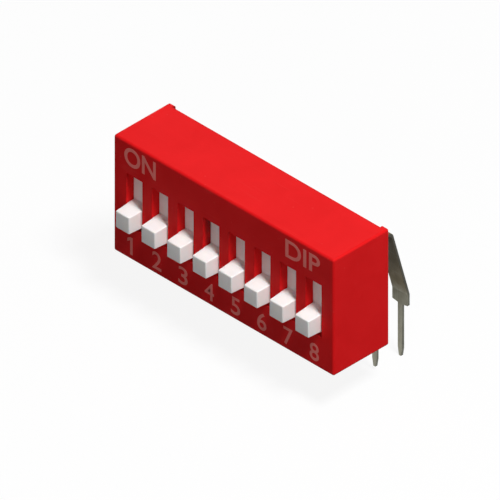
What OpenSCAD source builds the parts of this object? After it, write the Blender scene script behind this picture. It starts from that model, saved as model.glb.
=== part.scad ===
// Right-angle DIP switch: a row of eight slide switches in one moulded body.
// X runs along the row, the sliders face -Y and the terminals leave at +Y.
// The origin is the middle of the underside, which sits on the circuit board at Z = 0.
// The model shows every switch OFF, its slider down. ON is up.

/* [Row] */
// Distance from one switch to the next, and from one terminal to the next
pitch = 2.54; // [2.2:0.01:3.2]
// Thickness of the ribs between neighbouring sliders
rib_w = 0.3; // [0.2:0.05:0.5]

/* [Cover] */
// Depth from the front face to the backs of the stand-off feet
body_d = 5.53; // [4.6:0.01:7]
// Height above the circuit board
body_h = 9.97; // [8.3:0.01:12]
// Thickness of the front wall, which the slots go through
front_wall = 0.75; // [0.5:0.05:0.9]
// Thickness of the top and bottom walls
shell_wall = 0.5; // [0.4:0.05:0.7]
// Thickness of the end walls
end_wall = 0.89; // [0.7:0.01:1.1]
// How far the stand-off feet reach behind the rest of the cover
foot_d = 0.32; // [0.2:0.01:0.6]
// Width of each stand-off foot
foot_w = 0.6; // [0.4:0.05:0.7]

/* [Sliders] */
// Width of the knob in its slot
knob_w = 1.44; // [1.1:0.01:1.6]
// Height of the knob in its slot
knob_h = 1.52; // [1.2:0.01:1.9]
// How far the knob stands out of the front face
knob_out = 1.17; // [0.6:0.01:1.6]
// How much the knob narrows on each side towards its front
knob_draft = 0.05; // [0:0.01:0.15]
// Travel from OFF to ON
travel = 2.1; // [1.6:0.01:2.55]
// Thickness of the plate that closes the slot from behind
plate_t = 0.65; // [0.5:0.05:0.85]
// Thickness of the skirts along the plate's two long edges
skirt_w = 0.35; // [0.25:0.01:0.45]
// Radius of the peg that the spring contact is riveted on
peg_r = 0.3; // [0.2:0.01:0.35]
// Radius of the rivet head
head_r = 0.48; // [0.4:0.01:0.55]
// Thickness of the rivet head
head_t = 0.2; // [0.12:0.01:0.3]

/* [Base] */
// Thickness of the base, from the contact floor to its back
base_t = 1.95; // [1.6:0.01:2.35]
// How far the base lies inside the cover's back edge
base_inset = 0.1; // [0:0.05:0.3]
// Length of the snap lugs at the two ends of the base
snap_l = 3; // [2:0.1:4]
// Depth of the snap lugs, front to back
snap_d = 0.6; // [0.4:0.05:0.8]
// How far the snap lugs stand out
snap_out = 0.22; // [0.1:0.01:0.3]

/* [Terminals] */
// Thickness of the terminal metal
metal_t = 0.22; // [0.2:0.01:0.3]
// Width of the terminals in and near the body
lead_w = 1.55; // [1:0.05:1.6]
// Width of the tails that are soldered in
tail_w = 0.46; // [0.4:0.01:0.6]
// Width of the tails at their tips
tip_w = 0.24; // [0.2:0.01:0.36]
// Length of the taper at the tips
tip_l = 0.7; // [0.4:0.05:1]
// Radius of the bends, at the middle of the metal
bend_r = 0.35; // [0.25:0.01:0.45]
// Height of the lower leads above the underside
lower_lead_z = 1.175; // [1:0.005:1.4]
// How far the upper pads run on past the spring contacts in the ON position, before their leads bend
bend_lap = 0.05; // [0.03:0.01:0.2]
// How far behind the feet the first row of tails lies
first_row = 0.62; // [0.5:0.01:1]
// Distance between the two rows of tails
row_gap = 2.54; // [2:0.01:3.2]
// How far behind the feet the upper leads turn down
lead_out = 1.48; // [1:0.01:1.8]
// Height at which the slanted part of the upper leads ends
slant_end = 2.1; // [1.9:0.05:2.6]
// Height of the upper leads' shoulders, below which they are tails
shoulder = 1.15; // [1:0.05:1.6]
// Height over which a lead narrows to its tail
shoulder_h = 0.1; // [0.05:0.05:0.5]
// Length of the lower leads' tails below the circuit board's face
lower_tail_out = 3.1; // [2.5:0.05:4]
// Length of the upper leads' tails below the circuit board's face
upper_tail_out = 3.45; // [2.5:0.05:4]

/* [Spring contacts] */
// Thickness of the spring metal
spring_t = 0.12; // [0.08:0.01:0.16]
// Radius of the spring's bends, at the middle of the metal
spring_r = 0.15; // [0.12:0.01:0.18]
// Length of the crown that lies against the slider
crown_l = 1.7; // [1.5:0.05:1.9]
// Distance between the middles of the two feet
foot_span = 3; // [2.8:0.05:3.2]
// Length of the flat under each foot
foot_l = 0.4; // [0.35:0.01:0.5]
// Length and rise of the turned-up toes
toe = [0.4, 0.3];
// How far the lower pad runs on past the lower foot in the ON position
pad_lap = 0.25; // [0.22:0.01:0.4]
// Length of travel over which the upper foot is on its pad
make_lap = 1.2; // [0.9:0.05:1.4]

/* [Clearances] */
// Gap between the knob and the sides of its slot
slot_side_gap = 0.065; // [0.04:0.005:0.2]
// Gap between the knob and the end of its slot at the end of the travel
slot_end_gap = 0.41; // [0.1:0.01:0.6]
// Gap in front of and behind a slider, and under the feet of its spring
slide_gap = 0.03; // [0.02:0.01:0.06]
// Gap on each side of a slider in its channel
side_gap = 0.05; // [0.03:0.01:0.1]
// Gap between a slider and the wall that stops it
stop_gap = 0.08; // [0.04:0.01:0.2]
// Gap between a spring contact and the skirt on each side of it
spring_side_gap = 0.17; // [0.1:0.01:0.25]
// Gap around the base inside the cover
base_gap = 0.03; // [0.02:0.01:0.06]
// Gap around the terminals in the base
mould_gap = 0.01; // [0.01:0.005:0.02]
// Gap between the rivet peg and the hole in the spring
peg_gap = 0.04; // [0.02:0.01:0.06]

/* [Hidden] */
positions = 8;
$fn = 48;
// Flat steps in each bend of a strip
bend_steps = 12;
// Cutting tools reach this far past the faces that they cut
over = 1;

// Along X
channel_w = pitch - rib_w;
cavity_l = positions * pitch - rib_w;
body_l = cavity_l + 2 * end_wall;
plate_w = channel_w - 2 * side_gap;
spring_w = plate_w - 2 * (skirt_w + spring_side_gap);
slot_w = knob_w + 2 * slot_side_gap;

// Along Y, from front to back
front_y = -body_d / 2;
inside_y = front_y + front_wall;
plate_y = inside_y + slide_gap;
plate_back_y = plate_y + plate_t;
back_y = body_d / 2;
shell_back_y = back_y - foot_d;
base_back_y = shell_back_y - base_inset;
floor_y = base_back_y - base_t;
snap_y = base_back_y - base_t / 2;
first_row_y = back_y + first_row;
second_row_y = first_row_y + row_gap;

// Along Z
mid_z = body_h / 2;
cavity_h = body_h - 2 * shell_wall;
off_z = mid_z - travel / 2;
on_z = mid_z + travel / 2;
slot_h = knob_h + travel + 2 * slot_end_gap;
plate_h = cavity_h - travel - 2 * stop_gap;
upper_lead_z = on_z + (foot_span + foot_l) / 2 + bend_lap + bend_r;
lower_pad_end_z = on_z - foot_span / 2 + foot_l / 2 + pad_lap;
upper_pad_end_z = on_z + foot_span / 2 - make_lap;

// Middle of switch n along X
function switch_x(n) = (n - (positions + 1) / 2) * pitch;

// Direction of one stretch of a path, and the turn from the stretch before a corner to the one after
function heading(path, i) = atan2(path[i + 1].y - path[i].y, path[i + 1].x - path[i].x);
function turn(path, i) =
    let (a = heading(path, i) - heading(path, i - 1))
    a > 180 ? a - 360 : a < -180 ? a + 360 : a;
function along(angle) = [cos(angle), sin(angle)];
function across(angle) = [-sin(angle), cos(angle)];

// Arc that rounds corner i of a path, moved off the path by `off` to its left
function rounded_corner(path, i, r, off) =
    let (
        in = heading(path, i - 1),
        a = turn(path, i),
        side = sign(a),
        centre = path[i] - r * tan(abs(a) / 2) * along(in) + side * r * across(in)
    )
    [for (k = [0 : bend_steps]) centre + (r - side * off) * along(in - side * 90 + a * k / bend_steps)];

// One edge of a bent strip, moved off the path by `off` to its left and run on by `grow` at both ends
function strip_edge(path, r, off, grow) =
    let (last = len(path) - 1, out = heading(path, last - 1), in = heading(path, 0))
    concat(
        [path[0] - grow * along(in) + off * across(in)],
        [for (i = [1 : last - 1]) each rounded_corner(path, i, r, off)],
        [path[last] + grow * along(out) + off * across(out)]
    );

// Metal strip bent along a path of [Y, Z] corners, centred on X = 0.
// A strip that is grown by a gap is the space that the strip needs.
module strip(path, width, thickness, r, grow = 0)
{
    off = thickness / 2 + grow;
    left = strip_edge(path, r, off, grow);
    right = strip_edge(path, r, -off, grow);
    rotate([90, 0, 90])
        linear_extrude(width + 2 * grow, center = true)
        polygon(concat(left, [for (i = [len(right) - 1 : -1 : 0]) right[i]]));
}

// Front outline of a terminal, which is wide down to its shoulders and ends in a tapered tail
module terminal_front(shoulder_z, tail_out)
{
    half = [
        [lead_w / 2, body_h], [lead_w / 2, shoulder_z], [tail_w / 2, shoulder_z - shoulder_h],
        [tail_w / 2, tip_l - tail_out], [tip_w / 2, -tail_out]
    ];
    translate([0, second_row_y + over, 0])
        rotate([90, 0, 0])
        linear_extrude(second_row_y - floor_y + 2 * over)
        polygon(concat(half, [for (i = [len(half) - 1 : -1 : 0]) [-half[i].x, half[i].y]]));
}

// Upper terminal: pad on the contact floor, lead out of the back, slant and tail
module upper_strip(grow = 0)
{
    path = [
        [floor_y + metal_t / 2, upper_pad_end_z],
        [floor_y + metal_t / 2, upper_lead_z],
        [back_y + lead_out, upper_lead_z],
        [second_row_y, slant_end],
        [second_row_y, -upper_tail_out]
    ];
    strip(path, lead_w, metal_t, bend_r, grow);
}

// Lower terminal: pad on the contact floor, lead out of the back and tail
module lower_strip(grow = 0)
{
    path = [
        [floor_y + metal_t / 2, lower_pad_end_z],
        [floor_y + metal_t / 2, lower_lead_z],
        [first_row_y, lower_lead_z],
        [first_row_y, -lower_tail_out]
    ];
    strip(path, lead_w, metal_t, bend_r, grow);
}

// Cover: open at the back, with a slot and a channel for each slider
module cover()
{
    color([0.86, 0.07, 0.08])
    {
        difference()
        {
            union()
            {
                translate([-body_l / 2, front_y, 0])
                    cube([body_l, shell_back_y - front_y, body_h]);
                for (side = [-1, 1])
                    translate([side * (body_l - foot_w) / 2 - foot_w / 2, shell_back_y - over, 0])
                        cube([foot_w, foot_d + over, body_h]);
            }
            translate([-cavity_l / 2, inside_y, shell_wall])
                cube([cavity_l, shell_back_y - inside_y + over, cavity_h]);
            for (n = [1 : positions])
                translate([switch_x(n) - slot_w / 2, front_y - over, mid_z - slot_h / 2])
                    cube([slot_w, front_wall + 2 * over, slot_h]);
            snap_lugs(base_gap);
        }
        for (n = [1 : positions - 1])
            translate([(switch_x(n) + switch_x(n + 1)) / 2 - rib_w / 2, inside_y, shell_wall])
                cube([rib_w, floor_y - slide_gap - inside_y, cavity_h]);
    }
}

// Snap lugs at both ends of the base, with a ramp that leads them into the cover
module snap_lugs(grow = 0)
{
    reach = base_gap + snap_out + grow;
    for (side = [0, 1])
        mirror([side, 0, 0])
        translate([cavity_l / 2 - base_gap, snap_y, mid_z - snap_l / 2 - grow])
        linear_extrude(snap_l + 2 * grow)
        polygon([
            [-over / 4, -snap_d / 2 - grow], [0, -snap_d / 2 - grow],
            [reach, 0], [reach, snap_d / 2 + grow], [-over / 4, snap_d / 2 + grow]
        ]);
}

// Base: closes the cover, and is moulded around the terminals
module base()
{
    color([0.12, 0.12, 0.13])
    difference()
    {
        union()
        {
            translate([-cavity_l / 2 + base_gap, floor_y, shell_wall + base_gap])
                cube([cavity_l - 2 * base_gap, base_t, cavity_h - 2 * base_gap]);
            snap_lugs();
        }
        for (n = [1 : positions])
            translate([switch_x(n), 0, 0])
            {
                upper_strip(mould_gap);
                lower_strip(mould_gap);
            }
    }
}

// Slider: knob in the slot, plate behind it, skirts down to the contact floor and rivet peg
module slider(n)
{
    color([0.96, 0.94, 0.92])
    translate([switch_x(n), 0, off_z])
    {
        knob();
        translate([-plate_w / 2, plate_y, -plate_h / 2])
            cube([plate_w, plate_t, plate_h]);
        for (side = [-1, 1])
            translate([side * (plate_w - skirt_w) / 2 - skirt_w / 2, plate_y, -plate_h / 2])
                cube([skirt_w, floor_y - slide_gap - plate_y, plate_h]);
        translate([0, plate_back_y, 0])
            rotate([-90, 0, 0])
            rivet();
    }
}

// Knob, straight in its slot and narrowing on all four sides in front of it
module knob()
{
    intersection()
    {
        translate([0, 0, -knob_h])
            linear_extrude(2 * knob_h)
            knob_outline(knob_w);
        rotate([0, -90, 0])
            translate([0, 0, -knob_w])
            linear_extrude(2 * knob_w)
            knob_outline(knob_h);
    }
}

// Knob seen from above, or from the side if its height is given as its width
module knob_outline(width)
{
    half = width / 2;
    tip = half - knob_draft;
    tip_y = front_y - knob_out;
    root_y = plate_y + plate_t / 2;
    polygon([[-tip, tip_y], [tip, tip_y], [half, front_y], [half, root_y], [-half, root_y], [-half, front_y]]);
}

// Peg and upset head that hold the spring contact, standing along +Z
module rivet()
{
    translate([0, 0, -plate_t / 2])
        cylinder(r = peg_r, h = plate_t / 2 + spring_t + head_t);
    translate([0, 0, spring_t])
        cylinder(r = head_r, h = head_t);
}

// Spring contact: the crown lies on the slider, and the two feet slide on the contact floor
module spring_contact(n)
{
    crown_y = plate_back_y + spring_t / 2;
    foot_y = floor_y - slide_gap - spring_t / 2;
    half = [
        [crown_y, crown_l / 2],
        [foot_y, foot_span / 2 - foot_l / 2],
        [foot_y, foot_span / 2 + foot_l / 2],
        [foot_y - toe.y, foot_span / 2 + foot_l / 2 + toe.x]
    ];
    other_half = [for (i = [len(half) - 1 : -1 : 0]) [half[i].x, -half[i].y]];
    path = concat(other_half, half);
    color([0.85, 0.66, 0.3])
    translate([switch_x(n), 0, off_z])
    difference()
    {
        strip(path, spring_w, spring_t, spring_r);
        translate([0, plate_back_y - over, 0])
            rotate([-90, 0, 0])
            cylinder(r = peg_r + peg_gap, h = 2 * over);
    }
}

module upper_terminal(n)
{
    color([0.5, 0.5, 0.45])
    translate([switch_x(n), 0, 0])
    intersection()
    {
        upper_strip();
        terminal_front(shoulder, upper_tail_out);
    }
}

module lower_terminal(n)
{
    color([0.5, 0.5, 0.45])
    translate([switch_x(n), 0, 0])
    intersection()
    {
        lower_strip();
        terminal_front(lower_lead_z - metal_t / 2, lower_tail_out);
    }
}

cover();
base();
for (n = [1 : positions])
{
    slider(n);
    spring_contact(n);
    upper_terminal(n);
    lower_terminal(n);
}
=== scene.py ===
# %% [markdown]
# # A right-angle DIP switch
#
# Eight small slide switches share one red moulded cover. White sliders stick out of slots in its
# front, a black base closes its back, and tinned leads bend down from the base to the circuit
# board. The construction comes in ready made, as exact solids in metres, and this lesson gives it
# its looks: the soft edges and small marks that moulds and press tools leave, thin printed
# letters, and plastics and metals whose colour and gloss are never quite even.

# %% Load the construction
import math

import bmesh
import bpy
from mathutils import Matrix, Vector


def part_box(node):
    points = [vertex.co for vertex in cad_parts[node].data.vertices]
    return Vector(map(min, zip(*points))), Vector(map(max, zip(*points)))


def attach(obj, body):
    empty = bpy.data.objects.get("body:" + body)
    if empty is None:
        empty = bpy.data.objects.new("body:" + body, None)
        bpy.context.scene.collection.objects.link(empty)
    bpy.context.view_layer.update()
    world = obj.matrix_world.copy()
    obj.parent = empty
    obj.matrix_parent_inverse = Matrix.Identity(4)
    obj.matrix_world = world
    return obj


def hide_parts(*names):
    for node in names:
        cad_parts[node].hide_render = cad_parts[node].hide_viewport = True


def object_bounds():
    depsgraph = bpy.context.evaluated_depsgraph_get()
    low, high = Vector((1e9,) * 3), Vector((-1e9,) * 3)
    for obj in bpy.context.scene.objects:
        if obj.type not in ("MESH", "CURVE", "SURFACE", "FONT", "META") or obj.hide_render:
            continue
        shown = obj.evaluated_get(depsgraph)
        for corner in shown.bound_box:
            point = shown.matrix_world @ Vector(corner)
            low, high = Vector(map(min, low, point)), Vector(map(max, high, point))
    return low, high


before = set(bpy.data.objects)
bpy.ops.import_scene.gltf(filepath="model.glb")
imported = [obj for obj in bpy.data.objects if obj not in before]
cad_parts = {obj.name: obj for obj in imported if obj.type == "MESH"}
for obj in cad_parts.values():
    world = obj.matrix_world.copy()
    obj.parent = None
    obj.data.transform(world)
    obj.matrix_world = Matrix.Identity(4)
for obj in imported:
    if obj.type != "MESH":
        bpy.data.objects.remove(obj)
cad_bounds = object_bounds()
MM = 0.001
switches = sum(name.startswith("slider_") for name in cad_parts)

# %% [markdown]
# ## Where things are
#
# Every place below comes from the boxes of the solids, so that nothing is measured twice and the
# looks still fit if a size of the construction changes. The front face points along -Y. The base
# closes the back a tenth of a millimetre inside the cover's rim, and two feet stand out behind
# that rim.

# %% Places
BASE_INSET = 0.1 * MM
cover_low, cover_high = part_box("cover")
base_low, base_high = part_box("base")
front_y = cover_low.y
rim_y = base_high.y + BASE_INSET
mid_z = (cover_low.z + cover_high.z) / 2


def switch_x(n):
    """Middle of switch n along the row."""
    low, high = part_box(f"slider_{n}")
    return (low.x + high.x) / 2


pitch = switch_x(2) - switch_x(1)
print("pitch", round(pitch / MM, 3), "mm, front face at", round(front_y / MM, 3), "mm")

# %% [markdown]
# ## Picking objects and taking copies
#
# An operator acts on whatever is selected, and the solids arrive selected. So each step deselects
# everything first and then picks what it needs. A solid's own mesh stays as it is. `copy_of`
# works on a copy: it merges the loose triangles, dissolves the lines inside flat faces, and lets
# the copy ride on the body and stand in for the solid.


# %% Helpers for picking and copying
MERGE_DISTANCE = 0.0005 * MM
FLAT_WITHIN = math.radians(0.5)


def only(*pieces):
    """Selects these objects and nothing else, in object mode."""
    if bpy.context.object and bpy.context.object.mode != "OBJECT":
        bpy.ops.object.mode_set(mode="OBJECT")
    bpy.ops.object.select_all(action="DESELECT")
    for piece in pieces:
        piece.select_set(True)
    bpy.context.view_layer.objects.active = pieces[0]


def copy_of(node, name, body):
    """A merged copy of a solid that rides on a body and stands in for the solid."""
    piece = bpy.data.objects.new(name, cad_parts[node].data.copy())
    bpy.context.scene.collection.objects.link(piece)
    only(piece)
    bpy.ops.object.mode_set(mode="EDIT")
    bpy.ops.mesh.select_all(action="SELECT")
    bpy.ops.mesh.remove_doubles(threshold=MERGE_DISTANCE)
    bpy.ops.mesh.dissolve_limited(angle_limit=FLAT_WITHIN)
    bpy.ops.object.mode_set(mode="OBJECT")
    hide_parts(node)
    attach(piece, body)
    return piece


print("a copy's points closer than", round(MERGE_DISTANCE / MM, 4), "mm are merged")

# %% [markdown]
# ## Rounding edges
#
# No moulded or stamped edge is razor sharp, and it is the thin rounding that catches the light.
# It could be a Bevel modifier on the whole piece, but that also rounds edges which fit against
# another piece. Picking the edges by a test, in edit mode, rounds only the ones that are really
# round.


# %% Helpers for rounding
SAME_PLACE = 0.002 * MM
SHARP_FROM = math.radians(30)


def near(value, target):
    return abs(value - target) < SAME_PLACE


def round_edges(piece, wanted, width, steps):
    """Bevels the sharp edges for which wanted(edge) is true, and returns how many."""
    only(piece)
    bpy.ops.object.mode_set(mode="EDIT")
    bpy.ops.mesh.select_mode(type="EDGE")
    bpy.ops.mesh.select_all(action="DESELECT")
    mesh = bmesh.from_edit_mesh(piece.data)
    picked = 0
    for edge in mesh.edges:
        if edge.is_manifold and edge.calc_face_angle() > SHARP_FROM and wanted(edge):
            edge.select_set(True)
            picked += 1
    bmesh.update_edit_mesh(piece.data)
    if picked:
        bpy.ops.mesh.bevel(offset=width, segments=steps, affect="EDGES", clamp_overlap=False)
    bpy.ops.object.mode_set(mode="OBJECT")
    return picked


print("edges that turn by more than", round(math.degrees(SHARP_FROM)), "degrees can be rounded")

# %% [markdown]
# ## The cover
#
# The real cover is one shot of red polyester. Spark erosion leaves a radius of almost a fifth of
# a millimetre on its outside corners, and less around the slots, whose rims are made by slim
# steel blades. The channels inside are never seen, so they stay as they are.


# %% Cover with soft edges
def outer_planes(vertex):
    """The outside faces of the cover that a vertex lies on."""
    planes = set()
    for axis in range(3):
        if near(vertex.co[axis], cover_low[axis]):
            planes.add((axis, "low"))
        if near(vertex.co[axis], cover_high[axis]):
            planes.add((axis, "high"))
    if near(vertex.co.y, rim_y):
        planes.add((1, "rim"))
    return planes


def is_outer(edge):
    a, b = edge.verts
    return len(outer_planes(a) & outer_planes(b)) >= 2


def is_slot_rim(edge):
    return all(near(v.co.y, front_y) for v in edge.verts) and not is_outer(edge)


slot_radius, corner_radius = 0.05 * MM, 0.18 * MM
cover = copy_of("cover", "red_cover", "housing")
rims = round_edges(cover, is_slot_rim, slot_radius, 2)
outer = round_edges(cover, is_outer, corner_radius, 5)
print(f"cover: {outer} outside edges and {rims} slot edges rounded")

# %% [markdown]
# ## Marks of the mould
#
# Where the plastic flowed in, a gate leaves a shallow round dimple with a broken stub in it.
# Where ejector pins pushed the part out, there are flat discs a few hundredths of a millimetre
# deep. They could be painted with a bump pattern, but a cut disc keeps its crisp rim from every
# side. So a tool shape is added at its place and taken away from the piece with a Boolean
# modifier.


# %% Helpers for cutting
DISC_SIDES = 40


def combine(piece, tool, operation="DIFFERENCE"):
    """Cuts a tool shape from a piece or joins it on, and throws the tool away."""
    modifier = piece.modifiers.new("combine", "BOOLEAN")
    modifier.operation = operation
    modifier.object = tool
    only(piece)
    bpy.ops.object.modifier_apply(modifier=modifier.name)
    only(tool)
    bpy.ops.object.delete()


def disc(centre, radius, reach, turn):
    """A flat cylinder that reaches this far to each side of its centre."""
    bpy.ops.object.select_all(action="DESELECT")
    bpy.ops.mesh.primitive_cylinder_add(
        vertices=DISC_SIDES, radius=radius, depth=2 * reach, location=centre, rotation=turn
    )
    return bpy.context.object


print("marks are cut with the Boolean modifier")

# %% [markdown]
# ## Gate mark on the cover
#
# This cover is filled from its left end, where the mark doesn't show once switches stand in a
# row. The stub in the dimple is what is left when the runner snaps off, so it is a small cone
# with a slanted top. It is joined on with the same modifier, because it is the same piece of
# plastic.

# %% Gate mark
gate_height = 0.35 * (cover_high.z - cover_low.z)
dimple_radius, dimple_depth = 0.55 * MM, 0.06 * MM
stub_foot, stub_top, stub_height = 0.2 * MM, 0.14 * MM, 0.07 * MM
stub_lift, stub_slant = 0.045 * MM, 0.02 * MM
gate = Vector((cover_low.x, (front_y + rim_y) / 2, cover_low.z + gate_height))
combine(cover, disc(gate, dimple_radius, dimple_depth, (0, math.pi / 2, 0)))
bpy.ops.object.select_all(action="DESELECT")
bpy.ops.mesh.primitive_cone_add(
    vertices=DISC_SIDES // 2, radius1=stub_foot, radius2=stub_top, depth=stub_height,
    location=gate + Vector((stub_lift, 0, 0)), rotation=(0, -math.pi / 2, 0),
)
stub = bpy.context.object
bpy.ops.object.mode_set(mode="EDIT")
bpy.ops.mesh.select_all(action="DESELECT")
mesh = bmesh.from_edit_mesh(stub.data)
for vertex in mesh.verts:
    vertex.select_set(vertex.co.z > 0 and vertex.co.y > 0)
bmesh.update_edit_mesh(stub.data)
bpy.ops.transform.translate(value=(stub_slant, 0, 0))
bpy.ops.object.mode_set(mode="OBJECT")
combine(cover, stub, "UNION")
print("gate mark at", [round(c / MM, 2) for c in gate], "mm")

# %% [markdown]
# ## Sliders
#
# Each slider is white nylon, with a knob that is pushed with a pen tip. The knob's corners are
# rounder than the slot's, because a tool has to slide over them without chipping them. Behind the
# slot the slider stays sharp, since it only touches the cover there.


# %% Sliders with soft knobs
knob_radius = 0.08 * MM
knob_end_y = front_y + 0.7 * MM


def on_knob(edge):
    return all(v.co.y < knob_end_y for v in edge.verts)


sliders = []
for n in range(1, switches + 1):
    slider = copy_of(f"slider_{n}", f"white_slider_{n}", f"switch_{n}")
    count = round_edges(slider, on_knob, knob_radius, 4)
    sliders.append(slider)
print(f"{len(sliders)} sliders, {count} knob edges rounded on each")

# %% [markdown]
# ## How a lead leaves the base
#
# The black base is moulded around the terminals. The mould has to seal on the metal, so each lead
# leaves the plastic through a shallow rectangular pocket where the steel gripped it. The pocket
# is placed from the lead's own points: the highest ones behind the base give the top of the
# metal, and the lowest tip gives its thickness.


# %% Helper that measures a lead
def lead_exit(node):
    """Middle height, thickness and width of a terminal where it leaves the base."""
    points = [v.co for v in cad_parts[node].data.vertices]
    foot = min(p.z for p in points)
    tip = [p.y for p in points if near(p.z, foot)]
    thickness = max(tip) - min(tip)
    behind = [p for p in points if p.y > base_high.y]
    width = max(p.x for p in behind) - min(p.x for p in behind)
    return max(p.z for p in behind) - thickness / 2, thickness, width


for row in ("upper", "lower"):
    height, thickness, width = (round(value / MM, 3) for value in lead_exit(f"{row}_terminal_1"))
    print(f"{row} leads leave at {height} mm and are {width} by {thickness} mm")

# %% [markdown]
# ## Base
#
# The border of the back is rounded first, while it is still plain, because a bevel works best on
# few edges. Then sixteen pockets and three ejector discs are cut one after another.


# %% Base with pockets and ejector marks
def on_back_border(edge):
    """An edge around the back face of the base, but not one around a lead."""
    a, b = (v.co for v in edge.verts)
    if not (near(a.y, base_high.y) and near(b.y, base_high.y)):
        return False
    along_x = near(a.z, b.z) and (near(a.z, base_low.z) or near(a.z, base_high.z))
    along_z = near(a.x, b.x) and (near(a.x, base_low.x) or near(a.x, base_high.x))
    return along_x or along_z


border_radius = 0.08 * MM
pocket_margin, pocket_depth = 0.15 * MM, 0.1 * MM
ejector_radius, ejector_depth = 0.5 * MM, 0.04 * MM
ejectors_after = (1, 4, 7)
base = copy_of("base", "black_base", "housing")
border = round_edges(base, on_back_border, border_radius, 2)
for row in ("upper", "lower"):
    for n in range(1, switches + 1):
        height, thickness, width = lead_exit(f"{row}_terminal_{n}")
        bpy.ops.object.select_all(action="DESELECT")
        bpy.ops.mesh.primitive_cube_add(
            size=1, location=(switch_x(n), base_high.y, height),
            scale=(width + 2 * pocket_margin, 2 * pocket_depth, thickness + 2 * pocket_margin),
        )
        combine(base, bpy.context.object)
for n in ejectors_after:
    place = ((switch_x(n) + switch_x(n + 1)) / 2, base_high.y, mid_z)
    combine(base, disc(place, ejector_radius, ejector_depth, (math.pi / 2, 0, 0)))
print(f"base: {border} border edges rounded, {len(base.data.polygons)} faces")

# %% [markdown]
# ## Leads
#
# The terminals are punched from strip. The punch rolls the edge over on one face and breaks it
# off with a burr on the other, so a real lead's long edges are slightly soft. Only the edges
# between a broad face and a sheared side get that rounding, all the way from the pad to the tip.


# %% Leads with rolled edges
side_from = 0.9


def is_stamped(edge):
    """An edge between a sheared side, which looks along the row, and a broad face."""
    sides = [abs(face.normal.x) > side_from for face in edge.link_faces]
    return sides[0] != sides[1]


lead_radius = 0.03 * MM
leads = []
for row in ("upper", "lower"):
    for n in range(1, switches + 1):
        lead = copy_of(f"{row}_terminal_{n}", f"{row}_lead_{n}", "housing")
        count = round_edges(lead, is_stamped, lead_radius, 2)
        leads.append(lead)
print(f"{len(leads)} leads, {count} edges rounded on the last")

# %% [markdown]
# ## Spring contacts
#
# Each slider carries a small arched spring of gold-plated bronze that bridges the two pads when
# the switch is ON. It is hidden in the finished part and is only met by someone who takes it
# apart, but it gets the same soft edges as the leads.

# %% Springs
spring_radius = 0.02 * MM
springs = []
for n in range(1, switches + 1):
    spring = copy_of(f"spring_contact_{n}", f"contact_spring_{n}", f"switch_{n}")
    count = round_edges(spring, is_stamped, spring_radius, 2)
    springs.append(spring)
print(f"{len(springs)} springs, {count} edges rounded on the last")

# %% [markdown]
# ## Smooth shading
#
# A rounding made of a few strips only looks round when it is shaded smooth, while the flat faces
# beside it must stay flat. Smoothing by angle blends faces that meet at less than the given
# angle, and the Weighted Normal modifier then lets the largest face at each corner decide, so
# that the blend stays inside the rounding and doesn't creep over the wide flat face.

# %% Smooth shading
smooth_below = math.radians(40)
for piece in (cover, base, *sliders, *leads, *springs):
    only(piece)
    bpy.ops.object.shade_smooth_by_angle(angle=smooth_below)
    flatten = piece.modifiers.new("flatten", "WEIGHTED_NORMAL")
    flatten.weight = 100
    flatten.keep_sharp = True
    bpy.ops.object.modifier_apply(modifier=flatten.name)
print("most faces on a piece:", max(len(p.data.polygons) for p in (cover, base, *leads)))

# %% [markdown]
# ## Printed letters
#
# ON and DIP stand over the slots, and a number under each slot, pad-printed in a thin pale ink.
# The letters could be a pattern on the cover, but then they would need an image texture. Text
# objects turned into flat meshes stay crisp at any size. Each word is fitted to its own width and
# height, given a few micrometres of ink and laid on the front face.

# %% Helper for printing
INK = 0.008 * MM
CAPITAL_SHARE = 0.73


def print_word(name, word, centre_x, width, foot_z, height, weight):
    """Lays a word of thin ink on the front face; weight is added to each side of a stroke."""
    bpy.ops.object.select_all(action="DESELECT")
    bpy.ops.object.text_add(align="WORLD")
    label = bpy.context.object
    label.name = name
    label.data.body = word
    label.data.size = height / CAPITAL_SHARE
    label.data.offset = weight
    label.data.extrude = INK / 2
    label.data.resolution_u = 6
    bpy.ops.object.convert(target="MESH")
    xs = [v.co.x for v in label.data.vertices]
    ys = [v.co.y for v in label.data.vertices]
    stretch = width / (max(xs) - min(xs))
    rise = height / (max(ys) - min(ys))
    label.scale = (stretch, rise, 1)
    label.rotation_euler = (math.pi / 2, 0, 0)
    middle = (min(xs) + max(xs)) / 2 * stretch
    label.location = (centre_x - middle, front_y, foot_z - min(ys) * rise)
    bpy.ops.object.transform_apply(location=True, rotation=True, scale=True)
    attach(label, "housing")
    return label


print("the ink is", round(INK / MM, 3), "mm thick")

# %% [markdown]
# ## Words and numbers
#
# The words stand at the two ends of the row, just under the top edge, in bold strokes. The
# numbers are one line of smaller and thinner type under the slots. The line is set a little wider
# than the row of switches, so that the 1 stands to the left of its slot's middle and the 8 just
# to the right of it.

# %% Words and numbers
word_foot = cover_high.z - 1.99 * MM
digit_foot = cover_low.z + 0.45 * MM
digit_width, digit_height, digit_weight = 0.92 * MM, 1.48 * MM, 0.02 * MM
digit_shift = 0.13 * MM
digit_step = 1.025 * pitch


def digit_x(n):
    """Middle of the number n."""
    return (n - (switches + 1) / 2) * digit_step - digit_shift


prints = [
    print_word(
        "print_on", "ON", centre_x=cover_low.x + 2.6 * MM, width=3.12 * MM,
        foot_z=word_foot, height=1.6 * MM, weight=0.045 * MM,
    ),
    print_word(
        "print_dip", "DIP", centre_x=cover_high.x - 3.07 * MM, width=3.44 * MM,
        foot_z=word_foot, height=1.52 * MM, weight=0.035 * MM,
    ),
]
for n in range(2, switches + 1):
    prints.append(print_word(
        f"print_{n}", str(n), digit_x(n), digit_width, digit_foot, digit_height, digit_weight
    ))
print(len(prints), "printed words and numbers")

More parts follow.
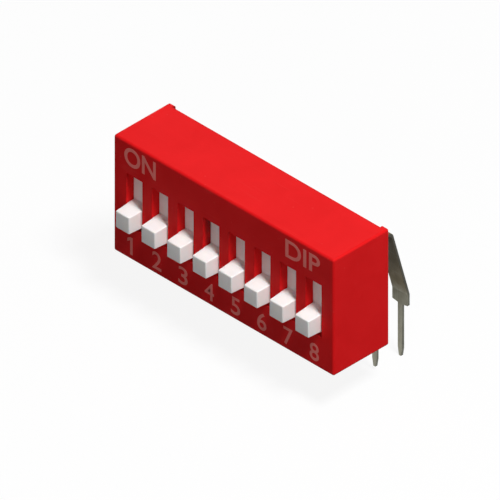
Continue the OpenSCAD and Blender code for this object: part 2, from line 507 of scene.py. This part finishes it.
# %% [markdown]
# ## The figure 1
#
# Blender's own font draws a 1 as a bare bar, which reads as a capital I. So this figure is drawn
# by hand: a flat bar is cut across near its top, the short edge above the cut is pulled out to
# the lower left as the flag, and the Solidify modifier gives it the thickness of the ink.

# %% The figure 1
stroke, flag = 0.25 * MM, 0.28 * MM
flag_drop, figure_shift = 0.7 * flag, 0.3 * flag
above_cut = digit_height / 2 - 1.1 * flag
bpy.ops.object.select_all(action="DESELECT")
bpy.ops.mesh.primitive_plane_add(size=1)
figure = bpy.context.object
figure.name = "print_1"
bpy.ops.object.mode_set(mode="EDIT")
bpy.ops.transform.resize(value=(stroke, digit_height, 1))
bpy.ops.mesh.bisect(plane_co=(0, digit_height / 2 - flag, 0), plane_no=(0, 1, 0))
bpy.ops.mesh.select_mode(type="VERT")
bpy.ops.mesh.select_all(action="DESELECT")
mesh = bmesh.from_edit_mesh(figure.data)
for vertex in mesh.verts:
    vertex.select_set(vertex.co.x < 0 and vertex.co.y > above_cut)
mesh.select_flush(True)
bmesh.update_edit_mesh(figure.data)
bpy.ops.mesh.extrude_region_move(TRANSFORM_OT_translate={"value": (-flag, -flag_drop, 0)})
bpy.ops.object.mode_set(mode="OBJECT")
thicken = figure.modifiers.new("thicken", "SOLIDIFY")
thicken.thickness = INK
thicken.offset = 0
bpy.ops.object.modifier_apply(modifier=thicken.name)
figure.rotation_euler = (math.pi / 2, 0, 0)
figure.location = (digit_x(1) + figure_shift, front_y, digit_foot + digit_height / 2)
bpy.ops.object.transform_apply(location=True, rotation=True, scale=True)
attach(figure, "housing")
prints.append(figure)
print("the figure 1 has", len(figure.data.polygons), "faces")

# %% [markdown]
# ## Building with nodes
#
# A material is a small tree of nodes, and writing one down is mostly adding nodes, setting their
# values and joining sockets. These helpers keep that short. `add` makes a node and sets its
# inputs or properties by name, `new_group` makes a group with named sockets, `use_group` places
# one, and `in_millimetres` gives the place on the piece, so that a scale of 5 means five grains a
# millimetre.


# %% Node helpers
def add(tree, kind, **values):
    """Adds a node and sets the inputs that have these names, or else its properties."""
    node = tree.nodes.new(kind)
    for name, value in values.items():
        socket = name.replace("_", " ").title()
        if socket in node.inputs:
            node.inputs[socket].default_value = value
        else:
            setattr(node, name, value)
    return node


def new_group(name, inputs, outputs):
    """A shader node group with these sockets, and its input and output nodes."""
    group = bpy.data.node_groups.new(name, "ShaderNodeTree")
    for label, kind, value in inputs:
        kind = "NodeSocket" + kind
        socket = group.interface.new_socket(label, in_out="INPUT", socket_type=kind)
        socket.default_value = value
    for label, kind in outputs:
        group.interface.new_socket(label, in_out="OUTPUT", socket_type="NodeSocket" + kind)
    return group, group.nodes.new("NodeGroupInput"), group.nodes.new("NodeGroupOutput")


def use_group(tree, group, **values):
    """Places a group in a tree and sets its inputs by name."""
    node = tree.nodes.new("ShaderNodeGroup")
    node.node_tree = group
    for name, value in values.items():
        node.inputs[name.replace("_", " ").capitalize()].default_value = value
    return node


def new_material(name):
    """A material with its tree and its Principled shader."""
    material = bpy.data.materials.new(name)
    material.use_nodes = True
    tree = material.node_tree
    return material, tree, tree.nodes["Principled BSDF"]


def in_millimetres(tree, stretch=(1, 1, 1)):
    """The place on the piece in millimetres, stretched if a pattern runs one way."""
    place = add(tree, "ShaderNodeTexCoord")
    scaled = add(tree, "ShaderNodeMapping", scale=[s / MM for s in stretch])
    tree.links.new(place.outputs["Object"], scaled.inputs["Vector"])
    return scaled.outputs["Vector"]


def span(tree, value, low, high, to_low=0.0, to_high=1.0):
    """Turns the part of a value between low and high into another range."""
    node = add(
        tree, "ShaderNodeMapRange", from_min=low, from_max=high, to_min=to_low, to_max=to_high
    )
    tree.links.new(value, node.inputs["Value"])
    return node


print("patterns are measured in millimetres")

# %% [markdown]
# ## Moulded plastic
#
# Polyester and nylon fill a mould in flow fronts, which leave very faint clouds of lighter and
# darker colour and of more and less gloss. The eroded steel prints a fine grain on top. One group
# gives all three from two noises: a slow one for the clouds, and a fast one for the grain.

# %% Moulded plastic
moulded, given, out = new_group(
    "moulded_plastic",
    [("Colour", "Color", (1, 1, 1, 1)), ("Grains per mm", "Float", 8.0),
     ("Shade spread", "Float", 0.05), ("Dullest", "Float", 0.55), ("Glossiest", "Float", 0.4)],
    [("Colour", "Color"), ("Roughness", "Float"), ("Height", "Float")],
)
link = moulded.links.new
usual_noise = (0.3, 0.7)
flow = add(moulded, "ShaderNodeTexNoise", scale=0.35, detail=4, distortion=0.6)
grain = add(moulded, "ShaderNodeTexNoise", detail=2)
link(in_millimetres(moulded), flow.inputs["Vector"])
link(in_millimetres(moulded), grain.inputs["Vector"])
link(given.outputs["Grains per mm"], grain.inputs["Scale"])
darkest = add(moulded, "ShaderNodeMath", operation="SUBTRACT")
darkest.inputs[0].default_value = 1
link(given.outputs["Shade spread"], darkest.inputs[1])
shade = span(moulded, flow.outputs["Fac"], *usual_noise)
link(darkest.outputs[0], shade.inputs["To Min"])
tint = add(moulded, "ShaderNodeVectorMath", operation="SCALE")
link(given.outputs["Colour"], tint.inputs[0])
link(shade.outputs[0], tint.inputs["Scale"])
gloss = span(moulded, flow.outputs["Fac"], *usual_noise)
link(given.outputs["Dullest"], gloss.inputs["To Min"])
link(given.outputs["Glossiest"], gloss.inputs["To Max"])
link(tint.outputs[0], out.inputs["Colour"])
link(gloss.outputs[0], out.inputs["Roughness"])
link(grain.outputs["Fac"], out.inputs["Height"])
print("moulded_plastic has", len(moulded.nodes), "nodes")

# %% [markdown]
# ## Edge wear and painted edge shade
#
# Handling and packing rub the outermost edges first: plastic goes dull there, and plating thins.
# On the red cover the same mask carries a dark red instead, which paints shade along every outer
# edge. The Bevel node knows where edges are, because it returns the normal that a rounded edge
# would have. Where that differs from the true normal there is an edge, and a noise breaks the
# line up so that it isn't even along the edge.

# %% Edge wear and painted edge shade
edges, given, out = new_group(
    "edge_wear_and_shade",
    [("Width in mm", "Float", 0.1), ("Patches per mm", "Float", 1.5)],
    [("Mask", "Float")],
)
link = edges.links.new
turned_away, patchy_noise = (0.99, 0.88), (0.35, 0.65)
to_metres = add(edges, "ShaderNodeMath", operation="MULTIPLY")
to_metres.inputs[1].default_value = MM
link(given.outputs["Width in mm"], to_metres.inputs[0])
rounded = add(edges, "ShaderNodeBevel", samples=6)
link(to_metres.outputs[0], rounded.inputs["Radius"])
surface = add(edges, "ShaderNodeNewGeometry")
agree = add(edges, "ShaderNodeVectorMath", operation="DOT_PRODUCT")
link(rounded.outputs["Normal"], agree.inputs[0])
link(surface.outputs["True Normal"], agree.inputs[1])
edge = span(edges, agree.outputs["Value"], *turned_away)
patches = add(edges, "ShaderNodeTexNoise", detail=3)
link(in_millimetres(edges), patches.inputs["Vector"])
link(given.outputs["Patches per mm"], patches.inputs["Scale"])
broken = span(edges, patches.outputs["Fac"], *patchy_noise)
# The edge mask: wear on most pieces, painted shade on the red cover
worn_and_shaded = add(edges, "ShaderNodeMath", operation="MULTIPLY")
link(edge.outputs[0], worn_and_shaded.inputs[0])
link(broken.outputs[0], worn_and_shaded.inputs[1])
link(worn_and_shaded.outputs[0], out.inputs["Mask"])
print("edge_wear_and_shade has", len(edges.nodes), "nodes")

# %% [markdown]
# ## Handling marks
#
# A part that has slid down a plastic tube carries hairline scratches, mostly lengthwise, and a
# few specks of dust. A noise that is squeezed thirty or forty times across its length turns into
# hairlines once only its highest peaks are kept. Dust comes from the cells of a Voronoi pattern:
# a small dot at each centre, kept only where the cell's random colour is high.

# %% Handling marks
marks, given, out = new_group(
    "handling_marks",
    [("Scratch share", "Float", 0.4), ("Specks per mm", "Float", 1.2)],
    [("Scratches", "Float"), ("Specks", "Float")],
)
link = marks.links.new
thin_lines = (0.25, 9, 11), (0.4, 12, 1.1)
highest_peaks, speck_rim, rare_cells = (0.68, 0.76), (0.09, 0.06), (0.6, 0.62)
hairlines = []
for stretch in thin_lines:
    lines = add(marks, "ShaderNodeTexNoise", scale=1.0, detail=1)
    link(in_millimetres(marks, stretch), lines.inputs["Vector"])
    hairlines.append(span(marks, lines.outputs["Fac"], *highest_peaks))
either = add(marks, "ShaderNodeMath", operation="MAXIMUM")
link(hairlines[0].outputs[0], either.inputs[0])
link(hairlines[1].outputs[0], either.inputs[1])
share = add(marks, "ShaderNodeMath", operation="MULTIPLY")
link(either.outputs[0], share.inputs[0])
link(given.outputs["Scratch share"], share.inputs[1])
cells = add(marks, "ShaderNodeTexVoronoi")
link(in_millimetres(marks), cells.inputs["Vector"])
link(given.outputs["Specks per mm"], cells.inputs["Scale"])
dot = span(marks, cells.outputs["Distance"], *speck_rim)
chosen = span(marks, cells.outputs["Color"], *rare_cells)
speck = add(marks, "ShaderNodeMath", operation="MULTIPLY")
link(dot.outputs[0], speck.inputs[0])
link(chosen.outputs[0], speck.inputs[1])
link(share.outputs[0], out.inputs["Scratches"])
link(speck.outputs[0], out.inputs["Specks"])
print("handling_marks has", len(marks.nodes), "nodes")

# %% [markdown]
# ## Dipped strip
#
# Metal strip is rolled, which draws fine lines along it. The tails are dipped in tin, which lays
# a slightly cloudy skin on them up to the shoulder, and above it the bare bronze has tarnished.
# So the group fades from the skin's colour to the tarnish between two heights, with an uneven
# border. The lines come from a noise drawn out along the strip, so it only varies across it.

# %% Dipped strip
dipped, given, out = new_group(
    "dipped_strip",
    [("Colour", "Color", (1, 1, 1, 1)), ("Tarnish", "Color", (0.5, 0.4, 0.3, 1)),
     ("Lines per mm", "Float", 14.0), ("Tarnish from mm", "Float", 1.0),
     ("Tarnish to mm", "Float", 9.0)],
    [("Colour", "Color"), ("Roughness", "Float"), ("Height", "Float")],
)
link = dipped.links.new
drawn_out, wide_noise = (1, 0.03, 0.03), (0.2, 0.8)
line_tones, haze_levels, stain_border = (0.8, 1.15), (0.3, 0.55), (0.2, 1.1)
clouds = add(dipped, "ShaderNodeTexNoise", scale=1.3, detail=4, distortion=0.4)
link(in_millimetres(dipped), clouds.inputs["Vector"])
lines = add(dipped, "ShaderNodeTexNoise", detail=2)
link(in_millimetres(dipped, drawn_out), lines.inputs["Vector"])
link(given.outputs["Lines per mm"], lines.inputs["Scale"])
parts = add(dipped, "ShaderNodeSeparateXYZ")
link(in_millimetres(dipped), parts.inputs[0])
climb = span(dipped, parts.outputs["Z"], 0, 1)
link(given.outputs["Tarnish from mm"], climb.inputs["From Min"])
link(given.outputs["Tarnish to mm"], climb.inputs["From Max"])
uneven = add(dipped, "ShaderNodeMath", operation="MULTIPLY_ADD")
uneven.inputs[1].default_value = 0.5
link(clouds.outputs["Fac"], uneven.inputs[0])
link(climb.outputs[0], uneven.inputs[2])
stain = span(dipped, uneven.outputs[0], *stain_border)
skin = add(dipped, "ShaderNodeMixRGB")
link(stain.outputs[0], skin.inputs["Fac"])
link(given.outputs["Colour"], skin.inputs["Color1"])
link(given.outputs["Tarnish"], skin.inputs["Color2"])
ruling = span(dipped, lines.outputs["Fac"], *wide_noise, *line_tones)
ruled = add(dipped, "ShaderNodeVectorMath", operation="SCALE")
link(skin.outputs[0], ruled.inputs[0])
link(ruling.outputs[0], ruled.inputs["Scale"])
haze = span(dipped, clouds.outputs["Fac"], *wide_noise, *haze_levels)
link(ruled.outputs[0], out.inputs["Colour"])
link(haze.outputs[0], out.inputs["Roughness"])
link(lines.outputs["Fac"], out.inputs["Height"])
print("dipped_strip has", len(dipped.nodes), "nodes")

# %% [markdown]
# ## Putting plastics together
#
# A plastic takes its colour, gloss and grain from the moulding group, gets a second tone along
# its edges, and a third in scratches and dust. The edge tone is wear, except on the red cover,
# where it is a painted shade that darkens the outline. Each joint is a mix of two colours by a
# mask. The constants that don't change over the surface, such as the specular level, are set on
# the shader.


# %% Helper for plastics
def blend_in(tree, below, above, mask, strength):
    """Mixes a colour over another where a mask says so; strength is the most that it covers."""
    most = add(tree, "ShaderNodeMath", operation="MULTIPLY")
    most.inputs[1].default_value = strength
    mixed = add(tree, "ShaderNodeMixRGB", color2=(*above, 1))
    tree.links.new(mask, most.inputs[0])
    tree.links.new(most.outputs[0], mixed.inputs["Fac"])
    tree.links.new(below, mixed.inputs["Color1"])
    return mixed.outputs[0]


def plastic(
    name, colour, worn_and_shaded, dusty, specular, grains, spread, depth,
    gloss=(0.55, 0.4), edge_mm=0.12,
):
    """A moulded plastic with hairlines, dust and an edge tone, which is wear, and on the red
    cover painted shade.
    """
    material, tree, shader = new_material(name)
    shader.inputs["Specular IOR Level"].default_value = specular
    body = use_group(
        tree, moulded, colour=(*colour, 1), grains_per_mm=grains, shade_spread=spread,
        dullest=gloss[0], glossiest=gloss[1],
    )
    wear_and_shade = use_group(tree, edges, width_in_mm=edge_mm)
    handled = use_group(tree, marks)
    # The edge tone: wear on most plastics, painted shade along the edges of the red cover
    tone = blend_in(tree, body.outputs["Colour"], worn_and_shaded, wear_and_shade.outputs["Mask"], strength=0.5)
    tone = blend_in(tree, tone, dusty, handled.outputs["Scratches"], strength=0.25)
    tone = blend_in(tree, tone, dusty, handled.outputs["Specks"], strength=0.3)
    grain = add(tree, "ShaderNodeBump", distance=depth)
    link = tree.links.new
    link(body.outputs["Height"], grain.inputs["Height"])
    link(tone, shader.inputs["Base Color"])
    link(body.outputs["Roughness"], shader.inputs["Roughness"])
    link(grain.outputs["Normal"], shader.inputs["Normal"])
    return material


print("plastics are mixed from", moulded.name, edges.name, "and", marks.name)

# %% [markdown]
# ## Red, white and black
#
# The cover is a strong signal red with hardly any sheen. Its edge tone is a dark red that
# paints shade along every rounded outer edge. The sliders are natural nylon: light enters it and
# comes out a little further on, which softens the shading inside the slots, so they get some
# subsurface scattering. The base is black with a silky grain. The ink is white but so thin that
# the red shows through it.

# %% Red, white and black
# The dark edge tone given below is painted shade along the cover's rounded edges and outline, not
# wear
red = plastic(
    "red_polyester", colour=(0.81, 0.011, 0.013), worn_and_shaded=(0.28, 0.004, 0.006),
    dusty=(0.85, 0.08, 0.07), specular=0.04, grains=9, spread=0.07, depth=0.004 * MM,
    edge_mm=0.25,
)
white = plastic(
    "white_nylon", colour=(0.965, 0.95, 0.93), worn_and_shaded=(0.92, 0.86, 0.83),
    dusty=(0.74, 0.70, 0.66), specular=0.5, grains=12, spread=0.04, depth=0.002 * MM,
    gloss=(0.5, 0.35), edge_mm=0.1,
)
shader = white.node_tree.nodes["Principled BSDF"]
shader.inputs["Subsurface Weight"].default_value = 0.35
shader.inputs["Subsurface Radius"].default_value = (1.0, 0.8, 0.7)
shader.inputs["Subsurface Scale"].default_value = 0.6 * MM
black = plastic(
    "black_polyester", colour=(0.025, 0.025, 0.027), worn_and_shaded=(0.06, 0.06, 0.06),
    dusty=(0.12, 0.115, 0.11), specular=0.4, grains=8, spread=0.2, depth=0.004 * MM,
)
ink = plastic(
    "pale_ink", colour=(0.97, 0.235, 0.21), worn_and_shaded=(0.88, 0.15, 0.12),
    dusty=(0.85, 0.1, 0.09), specular=0.1, grains=15, spread=0.1, depth=0.001 * MM,
)
print("plastics:", red.name, white.name, black.name, ink.name)

# %% [markdown]
# ## Tin and gold
#
# Matt tin is greyer and rougher than a bright metal, and what isn't dipped has gone a dull olive
# brown. The sheared sides of a lead are darker and coarser than its broad faces, because the
# punch tore them, so they get a material of their own. The springs are gold over bronze.


# %% Tin and gold
def metal(name, colour, tarnish, worn_and_shaded, metallic, lines, depth, fade=(1.7, 3.2)):
    """A strip that fades from one tone to a second, with a third along its worn edges."""
    material, tree, shader = new_material(name)
    shader.inputs["Metallic"].default_value = metallic
    strip = use_group(
        tree, dipped, colour=(*colour, 1), tarnish=(*tarnish, 1), lines_per_mm=lines,
        tarnish_from_mm=fade[0], tarnish_to_mm=fade[1],
    )
    wear_and_shade = use_group(tree, edges, width_in_mm=0.05, patches_per_mm=3.0)
    handled = use_group(tree, marks, scratch_share=0.7, specks_per_mm=2.0)
    tone = blend_in(tree, strip.outputs["Colour"], worn_and_shaded, wear_and_shade.outputs["Mask"], strength=0.5)
    tone = blend_in(tree, tone, worn_and_shaded, handled.outputs["Scratches"], strength=0.3)
    ruling = add(tree, "ShaderNodeBump", distance=depth)
    link = tree.links.new
    link(strip.outputs["Height"], ruling.inputs["Height"])
    link(tone, shader.inputs["Base Color"])
    link(strip.outputs["Roughness"], shader.inputs["Roughness"])
    link(ruling.outputs["Normal"], shader.inputs["Normal"])
    return material


tin = metal(
    "tin_plate", colour=(0.36, 0.355, 0.275), tarnish=(0.12, 0.085, 0.018),
    worn_and_shaded=(0.34, 0.32, 0.22), metallic=0.6, lines=14, depth=0.0015 * MM,
)
sheared = metal(
    "sheared_edge", colour=(0.15, 0.15, 0.115), tarnish=(0.055, 0.05, 0.035),
    worn_and_shaded=(0.20, 0.18, 0.12), metallic=0.5, lines=30, depth=0.003 * MM,
)
gold = metal(
    "gold_plate", colour=(0.90, 0.62, 0.22), tarnish=(0.65, 0.38, 0.14),
    worn_and_shaded=(0.75, 0.5, 0.3), metallic=1.0, lines=18, depth=0.001 * MM, fade=(1.0, 9.0),
)
print("metals:", tin.name, sheared.name, gold.name)

# %% [markdown]
# ## Dressing the pieces
#
# Most pieces wear one material. A lead wears two: its list holds the dipped and the sheared
# finish, and every face that looks along the row, which the punch cut, is given the second one.


# %% Dressing the pieces
def dress(piece, *materials):
    """Gives a piece these materials and no others."""
    piece.data.materials.clear()
    for material in materials:
        piece.data.materials.append(material)


sheared_from = 0.8
dress(cover, red)
dress(base, black)
for slider in sliders:
    dress(slider, white)
for spring in springs:
    dress(spring, gold)
for lead in leads:
    dress(lead, tin, sheared)
    for face in lead.data.polygons:
        face.material_index = int(abs(face.normal.x) > sheared_from)
for label in prints:
    dress(label, ink)
sheared_faces = sum(face.material_index for face in leads[0].data.polygons)
print(sheared_faces, "sheared faces on the first lead")

# %% [markdown]
# ## White surroundings
#
# The part lies on white paper in a white room. Cameras, reflections and glass should see plain
# white, but if the room also lit the part as strongly as that, every shade would wash out. The
# Light Path node tells the rays apart, and this helper gives 1 for the rays that should see
# white.


# %% Helper for white surroundings
def sees_white(tree):
    """A socket that is 1 for camera, glossy and transmission rays and 0 for the rest."""
    path = add(tree, "ShaderNodeLightPath")
    two = add(tree, "ShaderNodeMath", operation="MAXIMUM")
    three = add(tree, "ShaderNodeMath", operation="MAXIMUM")
    tree.links.new(path.outputs["Is Camera Ray"], two.inputs[0])
    tree.links.new(path.outputs["Is Glossy Ray"], two.inputs[1])
    tree.links.new(two.outputs[0], three.inputs[0])
    tree.links.new(path.outputs["Is Transmission Ray"], three.inputs[1])
    return three.outputs[0]


print("cameras, reflections and glass see white")

# %% [markdown]
# ## Floor
#
# The floor is a sheet of pale paper at the tips of the leads. Most of what the camera sees of it
# is its own white, and the rest is lit like any surface, which is where the soft shadow shows.
# Rays that bounce from the part see a dull grey sheet, so that no strong light comes from below.
# From behind it is clear, for a look at the part from underneath.

# %% Floor
floor_size = 600 * MM
seen_grey, bounced_grey, own_white = 0.9, 0.12, 0.9
bpy.ops.object.select_all(action="DESELECT")
bpy.ops.mesh.primitive_plane_add(size=floor_size, location=(0, 0, cad_bounds[0].z))
floor = bpy.context.object
floor.name = "floor"
paper, tree, shader = new_material("pale_paper")
tree.nodes.remove(shader)
link = tree.links.new
white_rays = sees_white(tree)
pale = add(tree, "ShaderNodeMixRGB")
pale.inputs["Color1"].default_value = (bounced_grey,) * 3 + (1,)
pale.inputs["Color2"].default_value = (seen_grey,) * 3 + (1,)
link(white_rays, pale.inputs["Fac"])
matt = add(tree, "ShaderNodeBsdfDiffuse")
link(pale.outputs[0], matt.inputs["Color"])
share = add(tree, "ShaderNodeMath", operation="MULTIPLY")
share.inputs[1].default_value = own_white
link(white_rays, share.inputs[0])
sheet = add(tree, "ShaderNodeMixShader")
link(share.outputs[0], sheet.inputs[0])
link(matt.outputs[0], sheet.inputs[1])
link(add(tree, "ShaderNodeEmission", color=(1, 1, 1, 1)).outputs[0], sheet.inputs[2])
one_way = add(tree, "ShaderNodeMixShader")
link(add(tree, "ShaderNodeNewGeometry").outputs["Backfacing"], one_way.inputs[0])
link(sheet.outputs[0], one_way.inputs[1])
link(add(tree, "ShaderNodeBsdfTransparent").outputs[0], one_way.inputs[2])
link(one_way.outputs[0], tree.nodes["Material Output"].inputs["Surface"])
dress(floor, paper)
print("floor at", round(cad_bounds[0].z / MM, 2), "mm")

# %% [markdown]
# ## Room
#
# The room's own light is very weak, just enough to open up the shadows. The lamps do the rest.

# %% Room
room_light = 0.035
room = bpy.data.worlds.new("studio")
bpy.context.scene.world = room
room.use_nodes = True
tree = room.node_tree
tree.nodes.clear()
link = tree.links.new
mixed = add(tree, "ShaderNodeMixShader")
link(sees_white(tree), mixed.inputs[0])
for socket, strength in ((1, room_light), (2, 1.0)):
    light = add(tree, "ShaderNodeBackground", color=(1, 1, 1, 1), strength=strength)
    link(light.outputs[0], mixed.inputs[socket])
link(mixed.outputs[0], add(tree, "ShaderNodeOutputWorld").inputs["Surface"])
print("the room has", len(tree.nodes), "nodes")

# %% [markdown]
# ## Lamps
#
# Three soft boxes light the part. The strongest hangs overhead, to the right and just in front of
# the row. It gives the top and the knobs their full brightness and only grazes the front, so that
# the three sides stay clearly apart. It is fairly small, because part of a larger one would hide
# behind the cover's top edge and leave the knobs dim. A weak one in front and to the right
# reaches into the slots. The last one stands opposite the camera and keeps the back and the left
# end readable, but leaves the roundings at the outline dark, which sets the red off from the
# white.


# %% Lamps
def softbox(name, direction, distance, size, brightness):
    """A square lamp; brightness 1 makes a white face that looks at it render as white."""
    data = bpy.data.lights.new(name, "AREA")
    data.shape = "SQUARE"
    data.size = size
    data.energy = brightness * math.pi**2 * distance**2
    lamp = bpy.data.objects.new(name, data)
    bpy.context.scene.collection.objects.link(lamp)
    lamp.location = Vector(direction).normalized() * distance
    lamp.rotation_euler = (-lamp.location).to_track_quat("-Z", "Y").to_euler()
    return lamp


lamp_distance = 500 * MM
lamps = [
    softbox("overhead", (0.46, -0.085, 0.89), lamp_distance, size=120 * MM, brightness=1.05),
    softbox("front", (0.5, -0.75, 0.35), lamp_distance, size=140 * MM, brightness=0.12),
    softbox("rear", (-0.75, 0.6, 0.02), lamp_distance, size=240 * MM, brightness=0.34),
]
print(len(lamps), "lamps")

# %% [markdown]
# ## Camera
#
# The view is isometric: the camera looks down from the front right so that all three directions
# are foreshortened alike and parallel edges stay parallel, which takes an orthographic camera
# turned by 45 degrees and raised by 35.26.

# %% Camera
target = Vector((-0.13, -0.03, 4.02)) * MM
camera_distance, view_width = 300 * MM, 35.07 * MM
azimuth = math.radians(45)
elevation = math.asin(math.tan(math.radians(30)))
backwards = Vector((
    math.sin(azimuth) * math.cos(elevation),
    -math.cos(azimuth) * math.cos(elevation),
    math.sin(elevation),
))
lens = bpy.data.cameras.new("camera")
lens.type = "ORTHO"
lens.ortho_scale = view_width
lens.clip_start = 1 * MM
lens.clip_end = 2000 * MM
camera = bpy.data.objects.new("camera", lens)
bpy.context.scene.collection.objects.link(camera)
camera.location = target + backwards * camera_distance
camera.rotation_euler = backwards.to_track_quat("Z", "Y").to_euler()
bpy.context.scene.camera = camera
bpy.context.scene.view_settings.view_transform = "Standard"
print("elevation", round(math.degrees(elevation), 2), "degrees")

# %% [markdown]
# ## Finish
#
# The looks must not change the part's size. This last step brings the scene up to date.

# %% Finish
bpy.context.view_layer.update()
